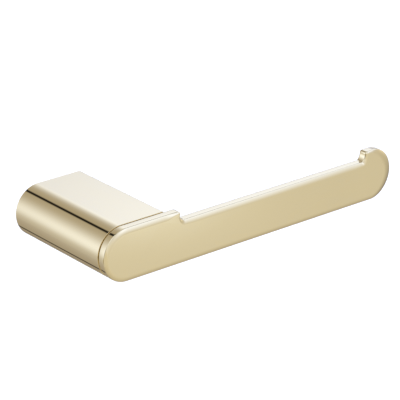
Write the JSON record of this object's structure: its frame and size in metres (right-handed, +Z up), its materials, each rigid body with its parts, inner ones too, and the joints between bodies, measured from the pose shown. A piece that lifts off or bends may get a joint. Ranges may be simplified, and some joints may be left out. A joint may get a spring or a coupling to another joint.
{
  "type": "toilet paper holder",
  "caption": "Wall-mounted open-arm toilet paper holder: a flat round-ended arm with a shallow recess, screwed across the front of a hollow D-shaped post.",
  "frame": {"origin": "centre of the post's width and height, on the wall face", "axes": "+X along the arm towards its open upturned tip, +Y into the wall, +Z up"},
  "size_m": [0.176, 0.069, 0.026],
  "materials": {
    "polished_gold": "mirror-polished brass with a pale champagne-gold coating",
    "cast_zinc": "bead-blasted die casting, matt",
    "black_steel": "black-oxide steel",
    "bright_steel": "bright zinc-plated steel"
  },
  "bodies": {
    "holder": {"arm_plate": "polished_gold", "post_housing": "polished_gold", "wall_bracket": "cast_zinc", "arm_screw_left": "black_steel", "arm_screw_right": "black_steel", "spring_washer_left": "bright_steel", "spring_washer_right": "bright_steel", "dowel_left": "bright_steel", "dowel_right": "bright_steel"},
    "grub_left": {"grub_screw_left": "black_steel"},
    "grub_right": {"grub_screw_right": "black_steel"}
  },
  "joints": [
    {"name": "grub_left_travel", "type": "slide", "parent": "holder", "child": "grub_left", "axis": [0, 0, -1], "range_m": [0, 0.0024]},
    {"name": "grub_right_travel", "type": "slide", "parent": "holder", "child": "grub_right", "axis": [0, 0, -1], "range_m": [0, 0.0024]}
  ]
}
